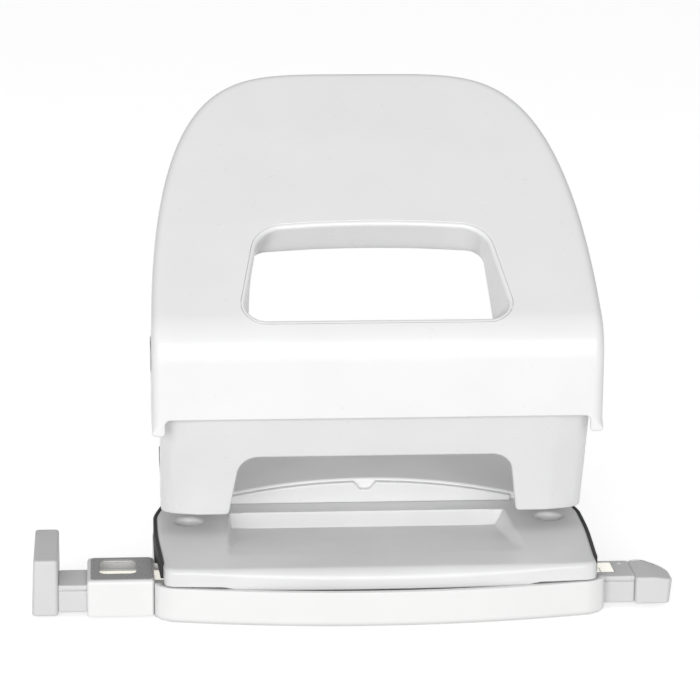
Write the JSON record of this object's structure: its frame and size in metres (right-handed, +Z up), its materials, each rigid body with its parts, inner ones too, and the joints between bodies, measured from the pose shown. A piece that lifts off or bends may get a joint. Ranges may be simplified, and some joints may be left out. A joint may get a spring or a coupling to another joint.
{
  "type": "hole punch",
  "caption": "White desktop paper punch with a press-down lever hood, a paper slot, a chip tray that opens at a rear hinge and a pull-out paper guide.",
  "frame": {"origin": "on the ground plane, midway between the punched holes", "axes": "+X to the right, +Y to the back, +Z up; paper goes in from the front at -Y"},
  "size_m": [0.137, 0.107, 0.106],
  "materials": {
    "tray_plastic": "smooth moulded",
    "foot_rubber": "matte",
    "sleeve_plastic": "smooth moulded",
    "clear_lens": "clear plastic",
    "spring_steel": "bright wire",
    "white_paint": "gloss white",
    "deck_plastic": "smooth moulded",
    "zinc_steel": "zinc plated",
    "punch_steel": "ground",
    "guide_plastic": "fine satin",
    "scale_print": "printed strip"
  },
  "bodies": {
    "tray": {"chip_tray": "tray_plastic", "rubber_feet": "foot_rubber", "guide_sleeve": "sleeve_plastic", "format_window": "clear_lens", "detent_spring": "spring_steel", "tray_hinge_pin": "zinc_steel"},
    "base": {"base_plate": "white_paint", "rear_deck": "deck_plastic", "paper_stop": "white_paint", "punch_frame": "white_paint", "frame_rivets": "zinc_steel", "left_pin_guide": "zinc_steel", "right_pin_guide": "zinc_steel", "left_spring": "spring_steel", "right_spring": "spring_steel", "left_pivot_pin": "zinc_steel", "right_pivot_pin": "zinc_steel"},
    "lever": {"lever_shell": "white_paint", "finger_liner": "white_paint", "left_cam": "zinc_steel", "right_cam": "zinc_steel"},
    "left_pin": {"left_punch_pin": "punch_steel", "left_spring_cup": "zinc_steel"},
    "right_pin": {"right_punch_pin": "punch_steel", "right_spring_cup": "zinc_steel"},
    "guide": {"guide_bar": "guide_plastic", "format_scale": "scale_print", "guide_stop": "guide_plastic", "guide_end_cap": "guide_plastic"}
  },
  "joints": [
    {"name": "tray_hinge", "type": "hinge", "parent": "tray", "child": "base", "pos_m": [0, 0.0666, 0.0082], "axis": [-1, 0, 0], "range_deg": [0, 60]},
    {"name": "lever_hinge", "type": "hinge", "parent": "base", "child": "lever", "pos_m": [0, -0.014, 0.054], "axis": [-1, 0, 0], "range_deg": [0, 30], "stiffness_Nm_per_rad": 0.5, "springref_deg": -28.65},
    {"name": "left_pin_slide", "type": "slide", "parent": "base", "child": "left_pin", "axis": [0, 0, -1], "range_m": [0, 0.0075], "deforming": ["left_spring"]},
    {"name": "right_pin_slide", "type": "slide", "parent": "base", "child": "right_pin", "axis": [0, 0, -1], "range_m": [0, 0.0075], "deforming": ["right_spring"]},
    {"name": "guide_slide", "type": "slide", "parent": "tray", "child": "guide", "axis": [-1, 0, 0], "range_m": [-0.0055, 0.08]}
  ],
  "couplings": [
    {"joint": "left_pin_slide", "follows": "lever_hinge", "m_per_rad": 0.014},
    {"joint": "right_pin_slide", "follows": "lever_hinge", "m_per_rad": 0.014}
  ]
}
